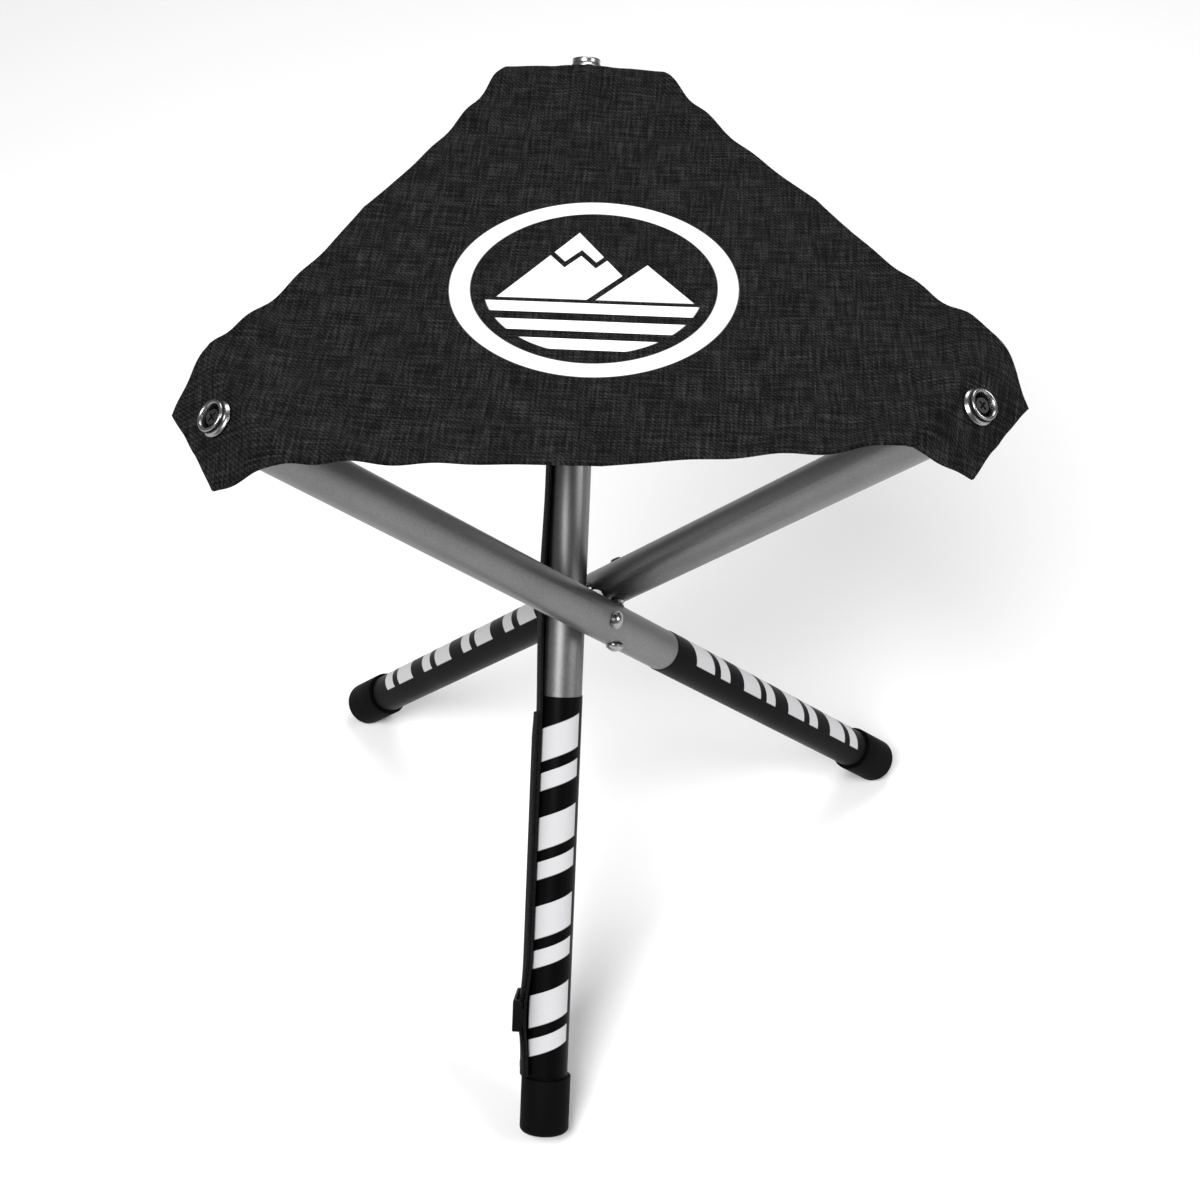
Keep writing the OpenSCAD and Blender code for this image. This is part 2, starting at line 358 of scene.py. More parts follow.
def mix_colour(tree, factor, first, second):
    node = add(tree, "ShaderNodeMix", data_type="RGBA")
    feed(tree, node.inputs["Factor"], factor)
    for socket, value in zip((node.inputs[6], node.inputs[7]), (first, second)):
        feed(tree, socket, value if isinstance(value, bpy.types.NodeSocket) else (*value, 1.0))
    return node.outputs[2]


def bump(tree, height, distance, strength=1.0):
    node = add(tree, "ShaderNodeBump")
    feed(tree, node.inputs["Height"], height)
    feed(tree, node.inputs["Distance"], distance)
    feed(tree, node.inputs["Strength"], strength)
    return node.outputs[0]


def object_place(tree):
    return add(tree, "ShaderNodeTexCoord").outputs["Object"]


def flat_place(tree):
    return add(tree, "ShaderNodeUVMap", uv_map="Flat").outputs[0]


def place_on_leg(tree, corner):
    """Object coordinates turned into the leg's own frame."""
    node = add(tree, "ShaderNodeMapping", vector_type="TEXTURE")
    feed(tree, node.inputs["Vector"], object_place(tree))
    frame_of_leg = leg_frame(corner)
    node.inputs["Location"].default_value = frame_of_leg.translation
    node.inputs["Rotation"].default_value = frame_of_leg.to_euler()
    return node.outputs[0]


def start_material(name, **constants):
    """A new material with one Principled shader; constants are set on its own sockets."""
    material = bpy.data.materials.new(name)
    material.use_nodes = True
    tree = material.node_tree
    shader = tree.nodes["Principled BSDF"]
    for key, value in constants.items():
        shader.inputs[key.replace("_", " ")].default_value = value
    return material, tree, shader


def start_group(name, inputs, outputs):
    """A new node group with float or vector sockets; returns its tree and its two end nodes."""
    tree = bpy.data.node_groups.new(name, "ShaderNodeTree")
    for socket, kind in inputs:
        tree.interface.new_socket(socket, in_out="INPUT", socket_type=kind)
    for socket in outputs:
        tree.interface.new_socket(socket, in_out="OUTPUT", socket_type="NodeSocketFloat")
    return tree, add(tree, "NodeGroupInput").outputs, add(tree, "NodeGroupOutput").inputs


def use_group(tree, name, **values):
    node = add(tree, "ShaderNodeGroup", node_tree=bpy.data.node_groups[name])
    for key, value in values.items():
        feed(tree, node.inputs[key], value)
    return node.outputs


# ---------------------------------------------------------------- shared effects

VECTOR = "NodeSocketVector"
FLOAT = "NodeSocketFloat"


def build_weave_group():
    """Threads that cross, the diagonal lines they make, and slubs along both thread directions."""
    tree, given, result = start_group(
        "Woven threads", [("Place", VECTOR), ("Pitch", FLOAT)], ["Height", "Diagonal", "Slub"])
    x, y, _ = split(tree, given["Place"])
    u = calc(tree, "DIVIDE", x, given["Pitch"])
    v = calc(tree, "DIVIDE", y, given["Pitch"])
    sin_u = calc(tree, "SINE", calc(tree, "MULTIPLY", u, math.pi))
    sin_v = calc(tree, "SINE", calc(tree, "MULTIPLY", v, math.pi))
    crossing = calc(tree, "MULTIPLY_ADD", calc(tree, "MULTIPLY", sin_u, sin_v), 0.5, 0.5)
    diagonal = calc(tree, "SINE", calc(tree, "MULTIPLY", calc(tree, "ADD", u, v), math.pi / 2))
    feed(tree, result["Height"], crossing)
    feed(tree, result["Diagonal"], calc(tree, "MULTIPLY_ADD", diagonal, 0.5, 0.5))
    streaks = []
    for stretch in ((0.03, 0.5), (0.5, 0.03)):
        place = join(tree, calc(tree, "MULTIPLY", u, stretch[0]), calc(tree, "MULTIPLY", v, stretch[1]))
        streaks.append(noise(tree, place, 1.0, 3.0, 0.7))
    feed(tree, result["Slub"], remap(tree, calc(tree, "ADD", *streaks), 0.78, 1.24))


def build_handling_group():
    """Soft smudges and fine scuffs, as any handled surface has."""
    tree, given, result = start_group(
        "Handling marks", [("Place", VECTOR), ("Size", FLOAT)], ["Smudge", "Scuff", "Grain"])
    big = calc(tree, "DIVIDE", 1.0, given["Size"])
    fine = calc(tree, "MULTIPLY", big, 14.0)
    grain = calc(tree, "MULTIPLY", big, 60.0)
    feed(tree, result["Smudge"], remap(tree, noise(tree, given["Place"], big), 0.3, 0.7))
    feed(tree, result["Scuff"], remap(tree, noise(tree, given["Place"], fine, 5.0, 0.7), 0.62, 0.75))
    feed(tree, result["Grain"], noise(tree, given["Place"], grain, 2.0))


def build_emblem_group():
    """A ring with two peaks over three bars; Mask is 1 on the print."""
    tree, given, result = start_group(
        "Peak emblem", [("Place", VECTOR), ("Radius", FLOAT)], ["Mask"])
    x, y, _ = split(tree, given["Place"])
    u = calc(tree, "DIVIDE", x, given["Radius"])
    v = calc(tree, "DIVIDE", y, given["Radius"])
    soft = 0.006

    def over(value, limit=0.0):
        return remap(tree, value, limit - soft, limit + soft)

    def both(first, second):
        return calc(tree, "MULTIPLY", first, second)

    reach = calc(tree, "SQRT", calc(tree, "ADD", both(u, u), both(v, v)))
    ring = both(over(reach, 0.86), calc(tree, "SUBTRACT", 1.0, over(reach, 1.0)))
    inside = calc(tree, "SUBTRACT", 1.0, over(reach, 0.76))

    def slope_below(centre, top, steep):
        away = calc(tree, "ABSOLUTE", calc(tree, "SUBTRACT", u, centre))
        return calc(tree, "SUBTRACT", calc(tree, "MULTIPLY_ADD", away, -steep, top), v)

    high = slope_below(-0.14, 0.62, 1.5)
    low = slope_below(0.36, 0.26, 1.25)
    cap_line = calc(tree, "MULTIPLY_ADD", calc(tree, "PINGPONG", u, 0.11), 1.3, 0.2)
    snow_gap = both(over(calc(tree, "SUBTRACT", v, cap_line)),
                    over(calc(tree, "SUBTRACT", calc(tree, "ADD", cap_line, 0.075), v)))
    parting = both(over(low, -0.08), calc(tree, "SUBTRACT", 1.0, over(low, 0.0)))
    high_peak = both(both(over(high), calc(tree, "SUBTRACT", 1.0, snow_gap)),
                     calc(tree, "SUBTRACT", 1.0, parting))
    peaks = both(calc(tree, "MAXIMUM", high_peak, over(low)), over(v, -0.16))
    rows = calc(tree, "FRACT", calc(tree, "DIVIDE", calc(tree, "ADD", v, 1.0), 0.2))
    bars = both(both(over(rows, 0.42), calc(tree, "SUBTRACT", 1.0, over(v, -0.2))), over(v, -0.72))
    art = both(calc(tree, "MAXIMUM", peaks, bars), inside)
    feed(tree, result["Mask"], calc(tree, "MAXIMUM", ring, art))


def build_bar_group():
    """Slanted bars round the upper side of a tube; Place is in the leg's own frame."""
    tree, given, result = start_group(
        "Sleeve bars",
        [("Place", VECTOR), ("Pitch", FLOAT), ("Reach", FLOAT), ("Radius", FLOAT),
         ("Start", FLOAT), ("End", FLOAT)], ["Mask"])
    x, y, z = split(tree, given["Place"])
    angle = calc(tree, "ARCTAN2", x, calc(tree, "MULTIPLY", y, -1.0))
    arc = calc(tree, "MULTIPLY", angle, given["Radius"])
    down = calc(tree, "MULTIPLY", z, -1.0)
    soft = 0.00025

    def over(value, limit):
        low = calc(tree, "SUBTRACT", limit, soft)
        return remap(tree, value, low, calc(tree, "ADD", limit, soft))

    def under(value, limit):
        return calc(tree, "SUBTRACT", 1.0, over(value, limit))

    def both(first, second):
        return calc(tree, "MULTIPLY", first, second)

    slanted = calc(tree, "MULTIPLY_ADD", arc, 0.42, down)
    along = calc(tree, "SUBTRACT", slanted, given["Start"])
    row = calc(tree, "MODULO", along, given["Pitch"])
    number = calc(tree, "FLOOR", calc(tree, "DIVIDE", along, given["Pitch"]))
    narrow = calc(tree, "MODULO", number, 2.0)
    width = calc(tree, "MULTIPLY_ADD", narrow, -0.34, 0.74)
    bars = under(row, calc(tree, "MULTIPLY", given["Pitch"], width))
    within = both(over(slanted, given["Start"]), under(slanted, given["End"]))
    within = both(within, under(calc(tree, "ABSOLUTE", arc), given["Reach"]))
    feed(tree, result["Mask"], both(bars, within))


# ---------------------------------------------------------------- materials


def seat_fabric():
    seat = bpy.context.scene.stool_seat
    material, tree, shader = start_material(
        "Heathered seat fabric", Specular_IOR_Level=0.04, Sheen_Weight=0.01, Sheen_Roughness=0.5)
    place = flat_place(tree)
    weave = use_group(tree, "Woven threads", Place=place, Pitch=0.0006)
    broad = remap(tree, noise(tree, place, 55.0, 4.0, 0.6), 0.3, 0.7)
    speck = remap(tree, noise(tree, place, 1400.0, 2.0, 0.8), 0.36, 0.64)
    shade = calc(tree, "MULTIPLY_ADD", weave["Slub"], 0.62, -0.2)
    shade = calc(tree, "MULTIPLY_ADD", weave["Diagonal"], 0.22, shade)
    shade = calc(tree, "MULTIPLY_ADD", speck, 0.3, shade)
    shade = calc(tree, "MULTIPLY_ADD", broad, 0.1, shade)
    shade = calc(tree, "MAXIMUM", calc(tree, "MINIMUM", shade, 1.0), 0.0)
    shade = calc(tree, "POWER", shade, 2.2)
    yarn = mix_colour(tree, shade, seat.dark_yarn, seat.light_yarn)
    emblem = use_group(tree, "Peak emblem", Place=place, Radius=seat.emblem_radius)["Mask"]
    pale = [c * 0.94 for c in seat.print_colour]
    printed = mix_colour(tree, weave["Diagonal"], pale, seat.print_colour)
    feed(tree, shader.inputs["Base Color"], mix_colour(tree, emblem, yarn, printed))
    feed(tree, shader.inputs["Roughness"], calc(tree, "MULTIPLY_ADD", emblem, -0.3, 0.9))
    height = calc(tree, "MULTIPLY_ADD", weave["Diagonal"], 0.5, weave["Height"])
    height = calc(tree, "MULTIPLY_ADD", weave["Slub"], 0.6, height)
    height = calc(tree, "MULTIPLY", height, calc(tree, "MULTIPLY_ADD", emblem, -0.7, 1.0))
    feed(tree, shader.inputs["Normal"], bump(tree, height, 0.00015, 0.8))
    return material


def tube_alloy(corner):
    legs = bpy.context.scene.stool_legs
    material, tree, shader = start_material(f"Satin alloy, {corner} leg", Metallic=1.0)
    place = place_on_leg(tree, corner)
    x, y, z = split(tree, place)
    drawn = noise(tree, join(tree, x, y, calc(tree, "MULTIPLY", z, 0.2)), 2400.0, 3.0, 0.7)
    marks = use_group(tree, "Handling marks", Place=place, Size=0.05)
    tone = calc(tree, "MULTIPLY_ADD", marks["Smudge"], 0.25, remap(tree, drawn, 0.3, 0.7, 0.0, 0.6))
    feed(tree, shader.inputs["Base Color"],
         mix_colour(tree, tone, [c * 0.7 for c in legs.alloy], [c * 1.3 for c in legs.alloy]))
    rough = remap(tree, drawn, 0.3, 0.7, 0.38, 0.48)
    feed(tree, shader.inputs["Roughness"], calc(tree, "MULTIPLY_ADD", marks["Scuff"], 0.08, rough))
    feed(tree, shader.inputs["Normal"], bump(tree, drawn, 0.00002, 0.35))
    return material


def printed_sleeve(corner):
    legs = bpy.context.scene.stool_legs
    material, tree, shader = start_material(f"Printed sleeve, {corner} leg", Specular_IOR_Level=0.05)
    place = place_on_leg(tree, corner)
    low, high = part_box("leg_sleeve_rear")
    lean = TUBE_R * math.cos(LEG_ANGLE)
    top = -up_the_leg(high.z - lean)
    bottom = -up_the_leg(low.z + lean)
    mask = use_group(
        tree, "Sleeve bars", Place=place, Pitch=legs.bar_pitch, Reach=legs.bar_reach,
        Radius=TUBE_R, Start=top + 0.014, End=bottom - 0.016)["Mask"]
    marks = use_group(tree, "Handling marks", Place=place, Size=0.03)
    ground = mix_colour(tree, marks["Scuff"], legs.sleeve, [c * 3 for c in legs.sleeve])
    speckle = calc(tree, "MULTIPLY", marks["Grain"], 1.0)
    bars = mix_colour(tree, speckle, [c * 0.85 for c in legs.bars], [c * 1.1 for c in legs.bars])
    feed(tree, shader.inputs["Base Color"], mix_colour(tree, mask, ground, bars))
    rough = calc(tree, "MULTIPLY_ADD", marks["Smudge"], 0.1, 0.36)
    feed(tree, shader.inputs["Roughness"], calc(tree, "MULTIPLY_ADD", mask, 0.12, rough))
    height = calc(tree, "MULTIPLY_ADD", marks["Grain"], 0.15, mask)
    feed(tree, shader.inputs["Normal"], bump(tree, height, 0.00004, 0.6))
    return material


def moulded(name, colour, roughness, size, depth):
    """Rubber or plastic: a fine moulded grain, paler scuffs and uneven gloss."""
    material, tree, shader = start_material(name, Specular_IOR_Level=0.03)
    marks = use_group(tree, "Handling marks", Place=object_place(tree), Size=size)
    worn = calc(tree, "MULTIPLY", marks["Scuff"], 0.6)
    feed(tree, shader.inputs["Base Color"],
         mix_colour(tree, worn, colour, [min(c * 3, 1.0) for c in colour]))
    feed(tree, shader.inputs["Roughness"],
         calc(tree, "MULTIPLY_ADD", marks["Smudge"], 0.12, roughness - 0.06))
    feed(tree, shader.inputs["Normal"], bump(tree, marks["Grain"], depth, 0.5))
    return material


def plated(name, colour, roughness):
    """Bright plated metal with faint polishing marks and smudges."""
    material, tree, shader = start_material(name, Metallic=1.0)
    marks = use_group(tree, "Handling marks", Place=object_place(tree), Size=0.03)
    feed(tree, shader.inputs["Base Color"],
         mix_colour(tree, marks["Smudge"], [c * 0.9 for c in colour], colour))
    rough = calc(tree, "MULTIPLY_ADD", marks["Smudge"], 0.08, roughness)
    feed(tree, shader.inputs["Roughness"], calc(tree, "MULTIPLY_ADD", marks["Scuff"], 0.1, rough))
    return material


def strap_webbing():
    strap = bpy.context.scene.stool_strap
    material, tree, shader = start_material(
        "Ribbed webbing", Specular_IOR_Level=0.04, Sheen_Weight=0.01, Sheen_Roughness=0.4)
    place = flat_place(tree)
    weave = use_group(tree, "Woven threads", Place=place, Pitch=0.0009)
    _, along, _ = split(tree, place)
    ribs = calc(tree, "SINE", calc(tree, "MULTIPLY", along, 2 * math.pi / 0.0016))
    shade = calc(tree, "MULTIPLY_ADD", weave["Slub"], 0.5, calc(tree, "MULTIPLY", weave["Height"], 0.5))
    feed(tree, shader.inputs["Base Color"],
         mix_colour(tree, shade, strap.webbing, [c * 4 for c in strap.webbing]))
    feed(tree, shader.inputs["Roughness"], remap(tree, weave["Slub"], 0.0, 1.0, 0.6, 0.8))
    height = calc(tree, "MULTIPLY_ADD", ribs, 0.5, weave["Height"])
    feed(tree, shader.inputs["Normal"], bump(tree, height, 0.00025, 0.8))
    return material


def studio_floor():
    stage = bpy.context.scene.stool_stage
    material, tree, shader = start_material("Studio floor", Specular_IOR_Level=0.15)
    tone = noise(tree, object_place(tree), 3.0)
    feed(tree, shader.inputs["Base Color"],
         mix_colour(tree, tone, [c * 0.985 for c in stage.floor], stage.floor))
    feed(tree, shader.inputs["Roughness"], remap(tree, tone, 0.3, 0.7, 0.8, 0.9))
    return material


# ---------------------------------------------------------------- the seat's shape


def seat_marks():
    """Flat places of the rear corner: both ends of its fold line, and both side middles."""
    seat = bpy.context.scene.stool_seat
    half = CORNER_WIDTH / 2
    ends = {side: Vector((-OFFSET + side * half, FOLD.y, 0)) for side in (-1, 1)}
    middles = {
        side: Matrix.Rotation(-side * SIDE_TURN, 3, "Z") @ MIDDLE * seat.side_distance
        for side in (-1, 1)}
    return ends, middles


def hang(flat):
    """Where a flat place of the sheet lies once the seat is stretched over the rear corner."""
    sideways = flat.x + OFFSET
    # The fold is tight over the tube's rim and soft beside it.
    radius = 0.003 + 0.024 * smooth((abs(sideways) - 0.004) / 0.034)
    start = FOLD.y - radius * math.tan(TAB_DROP / 2)
    past = flat.y - start
    bend = radius * TAB_DROP
    if past <= 0:
        place = Vector((flat.x, flat.y, SEAT_TOP))
    elif past <= bend:
        angle = past / radius
        place = Vector((flat.x, start + radius * math.sin(angle),
                        SEAT_TOP - radius * (1 - math.cos(angle))))
    else:
        bend_end = Vector((flat.x, start + radius * math.sin(TAB_DROP),
                           SEAT_TOP - radius * (1 - math.cos(TAB_DROP))))
        place = bend_end + (past - bend) * Vector((0, math.cos(TAB_DROP), -math.sin(TAB_DROP)))
    return place


def ease(flat):
    """Height added to the stretched sheet by its own weight and by the pull of the screws."""
    seat = bpy.context.scene.stool_seat
    reach = min(flat.length / FOLD.y, 1)
    height = -seat.sag * (1 - reach ** 4)
    for corner in CORNERS:
        own = turn(corner).inverted() @ flat
        beside = smooth((abs(own.x + OFFSET) - 0.006) / 0.036)
        height -= seat.droop * beside * smooth(1 - abs(own.y - FOLD.y) / 0.1)
        screw = Vector((-OFFSET, FOLD.y + TUBE_R, 0))
        away = own - screw
        spread = math.atan2(away.x, -away.y)
        near = smooth((away.length - 0.006) / 0.03) * math.exp(-away.length / 0.055)
        height += seat.pucker * near * math.cos(9 * spread + 0.8 * CORNERS.index(corner))
        height += 0.7 * seat.pucker * near * math.sin(5 * spread + 1.9)
        down_side = FOLD.y - own.y
        outside = smooth((abs(own.x + OFFSET) - 0.3 * down_side - 0.012) / 0.03)
        fade = smooth(down_side / 0.02) * smooth(1 - down_side / 0.11)
        wave = math.sin(down_side * 190 + 2.1 * CORNERS.index(corner) + (own.x > 0))
        height += seat.edge_ripple * outside * fade * wave
    return height


def shape_cloth(bm, corner):
    """Stretches the flat rear-corner mesh, turns it to its own corner and thickens it."""
    seat = bpy.context.scene.stool_seat
    turned = turn(corner)
    for vert in bm.verts:
        vert.co = turned @ vert.co
    keep_flat_places(bm)
    flat = bm.verts.layers.float_vector["flat"]
    for vert in bm.verts:
        place = hang(turned.inverted() @ vert.co)
        place.z += ease(vert[flat])
        vert.co = turned @ place
    thicken(bm, seat.thickness, Vector((0, 0, 1)))
    flat_places_to_uv(bm)
    # The underside takes its pattern from beyond the print, which is on the upper side only.
    bm.normal_update()
    uv = bm.loops.layers.uv["Flat"]
    for face in bm.faces:
        if face.normal.z < 0:
            for loop in face.loops:
                loop[uv].uv.x += BARE_CLOTH


def cloth_triangle(first, second, third, dip=Vector()):
    """A triangle of even small faces; its first side curves in by dip."""
    seat = bpy.context.scene.stool_seat
    bm = bmesh.new()
    verts = [bm.verts.new(place) for place in ((1, 0, 0), (0, 1, 0), (0, 0, 0))]
    bm.faces.new(verts)
    bmesh.ops.subdivide_edges(bm, edges=bm.edges[:], cuts=seat.divisions, use_grid_fill=True)
    for vert in bm.verts:
        a, b, _ = vert.co
        vert.co = a * first + b * second + (1 - a - b) * third + 4 * a * b * dip
    return bm


def cloth_corner():
    """The flat corner past the fold line, tapering to its cut-off tip."""
    seat = bpy.context.scene.stool_seat
    bm = bmesh.new()
    bmesh.ops.create_grid(
        bm, x_segments=seat.divisions + 1, y_segments=14, size=0.5)
    for vert in bm.verts:
        across, down = vert.co.x, vert.co.y + 0.5
        width = CORNER_WIDTH + (seat.tip_width - CORNER_WIDTH) * down ** 1.15
        vert.co = Vector((-OFFSET + across * width, FOLD.y + down * seat.tab_length, 0))
    return bm


# ---------------------------------------------------------------- operators


class STOOL_OT_effects(bpy.types.Operator):
    """Build the shared shader effects"""

    bl_idname = "stool.effects"
    bl_label = "Shared effects"

    def execute(self, context):
        build_weave_group()
        build_handling_group()
        build_emblem_group()
        build_bar_group()
        return {"FINISHED"}


# Each light's name, place, diameter and power
LIGHTS = (
    ("Key light", (-0.6, -1.2, 1.9), 1.2, 58),
    ("Fill light", (1.7, -0.5, 1.3), 1.0, 20),
    ("Back light", (0.2, 1.3, 2.0), 1.4, 26))
WORLD_STRENGTH = 0.22
# From the pivot's height on the centre line to the place that the camera looks at
AIM_SHIFT = Vector((0.0028, 0, 0.0024))


class STOOL_OT_stage(bpy.types.Operator):
    """Set up the floor, the lights and the camera"""

    bl_idname = "stool.stage"
    bl_label = "Stage"

    def execute(self, context):
        stage = context.scene.stool_stage
        self.add_floor()
        for light in LIGHTS:
            self.add_light(*light)
        world = bpy.data.worlds.new("Studio")
        world.use_nodes = True
        world.node_tree.nodes["Background"].inputs["Color"].default_value = (1, 1, 1, 1)
        world.node_tree.nodes["Background"].inputs["Strength"].default_value = WORLD_STRENGTH
        context.scene.world = world
        context.scene.view_settings.view_transform = "Standard"
        turn_round = math.radians(stage.azimuth)
        rise = math.radians(stage.elevation)
        back = Vector((math.sin(turn_round) * math.cos(rise),
                       -math.cos(turn_round) * math.cos(rise), math.sin(rise)))
        data = bpy.data.cameras.new("Camera")
        data.lens = stage.lens
        camera = bpy.data.objects.new("Camera", data)
        context.scene.collection.objects.link(camera)
        aim = Vector((0, 0, PIVOT.z)) + AIM_SHIFT
        camera.location = aim + back * stage.distance
        camera.rotation_euler = back.to_track_quat("Z", "Y").to_euler()
        context.scene.camera = camera
        return {"FINISHED"}

    def add_floor(self):
        bm = bmesh.new()
        bmesh.ops.create_grid(bm, x_segments=4, y_segments=4, size=6)
        mesh = bpy.data.meshes.new("Floor")
        bm.to_mesh(mesh)
        bm.free()
        mesh.materials.append(studio_floor())
        floor = bpy.data.objects.new("Floor", mesh)
        bpy.context.scene.collection.objects.link(floor)

    def add_light(self, name, place, size, power):
        data = bpy.data.lights.new(name, "AREA")
        data.shape = "DISK"
        data.size = size
        data.energy = power
        light = bpy.data.objects.new(name, data)
        light.location = place
        aim = Vector(place) - Vector((0, 0, PIVOT.z))
        light.rotation_euler = aim.to_track_quat("Z", "Y").to_euler()
        bpy.context.scene.collection.objects.link(light)


class STOOL_OT_legs(bpy.types.Operator):
    """Finish the tubes, their printed sleeves and their end plugs"""

    bl_idname = "stool.legs"
    bl_label = "Legs"

    def execute(self, context):
        plug = moulded("Black nylon", (0.005, 0.005, 0.0055), 0.5, 0.01, 0.00003)
        for corner in CORNERS:
            finish_node(f"leg_tube_{corner}", tube_alloy(corner))
            finish_node(f"leg_sleeve_{corner}", printed_sleeve(corner))
            finish_node(f"end_plug_{corner}", plug)
        return {"FINISHED"}


CAP_ROUNDING = 0.0007


class STOOL_OT_feet(bpy.types.Operator):
    """Mould the rubber foot caps"""

    bl_idname = "stool.feet"
    bl_label = "Foot caps"

    def execute(self, context):
        rubber = moulded("Foot rubber", tuple(context.scene.stool_legs.rubber), 0.58, 0.02, 0.00006)
        for corner in CORNERS:
            softened_copy(f"foot_cap_{corner}", f"rubber_foot_{corner}", rubber,
                          f"leg_{corner}", CAP_ROUNDING)
        return {"FINISHED"}


class STOOL_OT_pivot(bpy.types.Operator):
    """Finish the three-way pivot, the blocks inside the tubes and their rivets"""

    bl_idname = "stool.pivot"
    bl_label = "Pivot"

    def execute(self, context):
        bright = plated("Nickel plate", (0.34, 0.34, 0.35), 0.2)
        nylon = moulded("Natural nylon", (0.7, 0.7, 0.66), 0.5, 0.01, 0.00002)
        finish_node("pivot_hub", bright)
        for corner in CORNERS:
            finish_node(f"pivot_block_{corner}", nylon)
            finish_node(f"block_rivets_{corner}", bright)
        return {"FINISHED"}


CLOTH_CLEARANCE = 0.0003
CUP_CLEARANCE = 0.0001
# Radius and height of the rolled cup's outline, from its inner foot round its outside
CUP_PROFILE = [
    (0.0054, 0.0004), (0.0076, 0.0), (0.0083, 0.0002), (0.0085, 0.0007), (0.0081, 0.0012),
    (0.0074, 0.0018), (0.0071, 0.0027), (0.0073, 0.0036), (0.0074, 0.0042), (0.0071, 0.0048),
    (0.0065, 0.0050), (0.0059, 0.0047), (0.0055, 0.0040), (0.0052, 0.0028), (0.0050, 0.0014)]


class STOOL_OT_seat_fixings(bpy.types.Operator):
    """Turn the cup washers and finish the cross-recess screws"""

    bl_idname = "stool.seat_fixings"
    bl_label = "Seat fixings"

    def execute(self, context):
        chrome = plated("Polished chrome", (0.3, 0.3, 0.31), 0.22)
        dark = plated("Screw steel", (0.12, 0.12, 0.125), 0.3)
        base = up_the_leg(FOLD.z - TUBE_R * math.cos(LEG_ANGLE)) + CLOTH_CLEARANCE
        skin = base + context.scene.stool_seat.thickness + CUP_CLEARANCE
        for corner in CORNERS:
            bm = turned_ring(CUP_PROFILE)
            bmesh.ops.transform(
                bm, matrix=leg_frame(corner) @ Matrix.Translation((0, 0, skin)), verts=bm.verts[:])
            cup = piece_from(bm, f"cup_ring_{corner}", chrome, f"leg_{corner}", 80)
            cup.modifiers.new("Smooth metal", "SUBSURF").levels = 1
            cup.modifiers["Smooth metal"].render_levels = 1
            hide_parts(f"cup_washer_{corner}")
            finish_node(f"seat_screw_{corner}", dark)
        return {"FINISHED"}


class STOOL_OT_seat(bpy.types.Operator):
    """Cut the seat sheet, stretch it over the legs and let its parts fold with them"""

    bl_idname = "stool.seat"
    bl_label = "Seat"

    def execute(self, context):
        seat = context.scene.stool_seat
        fabric = seat_fabric()
        ends, middles = seat_marks()
        centre = Vector()
        for corner in CORNERS:
            tab = self.cut(cloth_corner(), f"corner_cloth_{corner}", fabric, corner, "leg")
            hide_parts(f"seat_corner_{corner}")
            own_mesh(tab)
            self.declare(tab, corner, (CORNER_WIDTH, seat.tab_length))
            bm = cloth_triangle(ends[-1], ends[1], centre)
            inner = self.cut(bm, f"seat_cloth_{corner}", fabric, corner, "seat")
            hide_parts(f"seat_panel_{corner}")
            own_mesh(inner)
            self.declare(inner, corner, (CORNER_WIDTH, FOLD.y))
            for side, word in ((-1, "first"), (1, "second")):
                inwards = -(ends[side] + middles[side]).normalized() * seat.edge_dip
                bm = cloth_triangle(ends[side], middles[side], centre, inwards)
                outer = self.cut(bm, f"seat_side_{corner}_{word}", fabric, corner, "seat")
                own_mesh(outer)
                self.declare(outer, corner, (seat.side_distance, ends[side].length))
        return {"FINISHED"}

    def cut(self, bm, name, fabric, corner, body):
        shape_cloth(bm, corner)
        return piece_from(bm, name, fabric, f"{body}_{corner}")

    def declare(self, piece, corner, flat):
        """Takes a cloth piece, its corner and the size of its flat cut, and does nothing with them."""


SLIDER_ROUNDING = 0.0018
STRAP_CLEARANCE = 0.0005
# The strap lies at full lift up to LIFT_HALF from the pivot, and settles over LIFT_FADE.
LIFT_HALF = 0.012
LIFT_FADE = 0.05
# Lengths over which the second layer leaves the first, at its top and at its bottom
JOIN_TOP = 0.014
JOIN_BOTTOM = 0.03
# Near the slider the second layer bulges out and the webbing doesn't curl.
SLIDER_BULGE = 0.0013
BULGE_REACH = 0.014
FLAT_REACH = 0.018


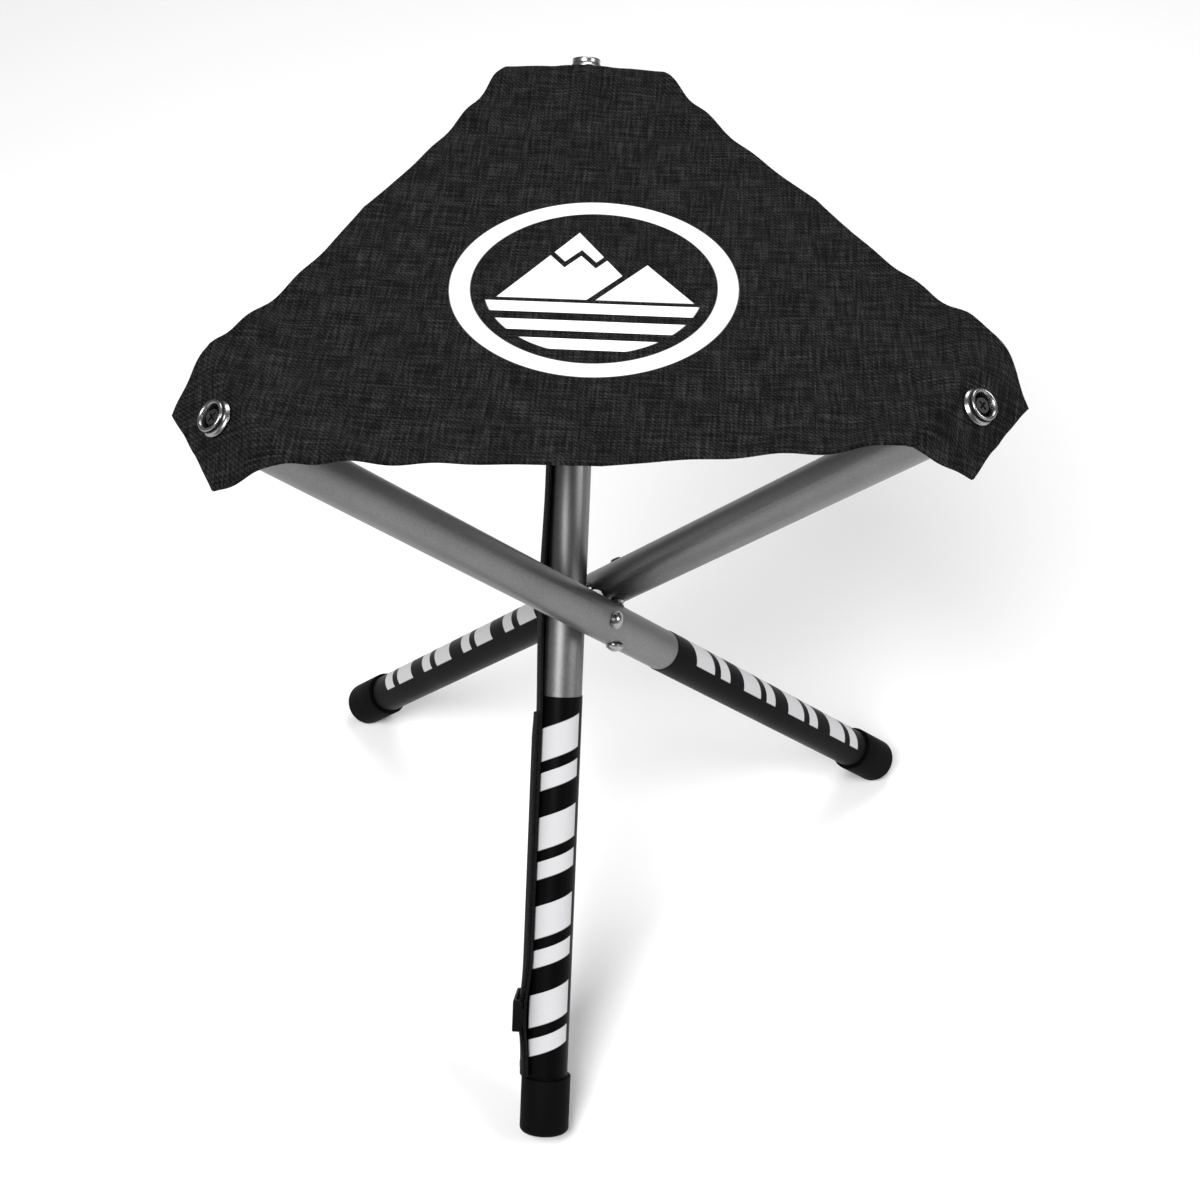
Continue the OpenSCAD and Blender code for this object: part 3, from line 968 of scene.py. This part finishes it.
class STOOL_OT_strap(bpy.types.Operator):
    """Lay the webbing carry strap along the leg, with its slider and rivets"""

    bl_idname = "stool.strap"
    bl_label = "Carry strap"

    def execute(self, context):
        strap = context.scene.stool_strap
        webbing = strap_webbing()
        low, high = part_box("carry_strap")
        slant = strap.width / 2 * math.cos(LEG_ANGLE)
        self.top = up_the_leg(high.z - slant)
        self.bottom = up_the_leg(low.z + slant)
        self.skin = TUBE_R + STRAP_CLEARANCE
        self.slider = up_the_leg(sum(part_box("strap_slider"), Vector()).z / 2)
        inner = self.ribbon(self.inner_line, self.bottom, self.top, 240)
        piece = piece_from(inner, "strap_inner", webbing, "leg_rear")
        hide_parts("carry_strap")
        outer = self.ribbon(self.outer_line, self.bottom, -strap.double_start, 160)
        piece_from(outer, "strap_outer", webbing, "leg_rear")
        plastic = moulded("Black acetal", (0.004, 0.004, 0.0042), 0.42, 0.012, 0.00003)
        softened_copy("strap_slider", "slider_buckle", plastic,
                      "slider", SLIDER_ROUNDING, 4)
        finish_node("strap_rivets", bpy.data.materials["Nickel plate"])
        return {"FINISHED"}

    def inner_line(self, t):
        """How far the strap lies out from the leg's axis at t up the leg."""
        lift = bpy.context.scene.stool_strap.rivet_lift
        return self.skin + lift * (1 - smooth((abs(t) - LIFT_HALF) / LIFT_FADE))

    def outer_line(self, t):
        strap = bpy.context.scene.stool_strap
        lift = strap.thickness + strap.layer_gap
        joined = (smooth((-strap.double_start - t) / JOIN_TOP)
                  * smooth((t - self.bottom) / JOIN_BOTTOM))
        bulge = SLIDER_BULGE * math.exp(-((t - self.slider) / BULGE_REACH) ** 2)
        return self.inner_line(t) + strap.thickness + (lift - strap.thickness + bulge) * joined

    def ribbon(self, line, start, end, segments):
        strap = bpy.context.scene.stool_strap
        bm = bmesh.new()
        bmesh.ops.create_grid(bm, x_segments=6, y_segments=segments, size=0.5)
        for vert in bm.verts:
            vert.co = Vector((vert.co.x * strap.width, start + (vert.co.y + 0.5) * (end - start), 0))
        keep_flat_places(bm)
        for vert in bm.verts:
            across, t, _ = vert.co
            beside_slider = 1 - math.exp(-((t - self.slider) / FLAT_REACH) ** 2)
            curl = strap.curl * (2 * across / strap.width) ** 2 * beside_slider
            vert.co = Vector((curl - line(t) - strap.thickness, across, t))
        bmesh.ops.transform(bm, matrix=leg_frame("rear"), verts=bm.verts[:])
        thicken(bm, strap.thickness, Vector((-1, 0, 0)))
        flat_places_to_uv(bm)
        return bm


# ---------------------------------------------------------------- panel and registration


class STOOL_PT_panel(bpy.types.Panel):
    """Settings and build steps of the camp stool"""

    bl_idname = "STOOL_PT_panel"
    bl_label = "Camp stool"
    bl_space_type = "VIEW_3D"
    bl_region_type = "UI"
    bl_category = "Camp stool"

    def draw(self, context):
        for step in STEPS:
            self.layout.operator(step.bl_idname)
        for name in SETTINGS:
            settings = getattr(context.scene, name)
            box = self.layout.box()
            for key in settings.__annotations__:
                box.prop(settings, key)


SETTINGS = {
    "stool_seat": SeatSettings,
    "stool_legs": LegSettings,
    "stool_strap": StrapSettings,
    "stool_stage": StageSettings,
}
STEPS = (
    STOOL_OT_effects, STOOL_OT_stage, STOOL_OT_legs, STOOL_OT_feet, STOOL_OT_pivot,
    STOOL_OT_seat_fixings, STOOL_OT_seat, STOOL_OT_strap)


def register():
    for kind in (*SETTINGS.values(), *STEPS, STOOL_PT_panel):
        bpy.utils.register_class(kind)
    for name, settings in SETTINGS.items():
        setattr(bpy.types.Scene, name, PointerProperty(type=settings))


def unregister():
    for name in SETTINGS:
        delattr(bpy.types.Scene, name)
    for kind in (STOOL_PT_panel, *reversed(STEPS), *SETTINGS.values()):
        bpy.utils.unregister_class(kind)


def main():
    register()
    bpy.ops.stool.effects()
    bpy.ops.stool.stage()
    bpy.ops.stool.legs()
    bpy.ops.stool.feet()
    bpy.ops.stool.pivot()
    bpy.ops.stool.seat_fixings()
    bpy.ops.stool.seat()
    bpy.ops.stool.strap()


if __name__ == "__main__":
    main()
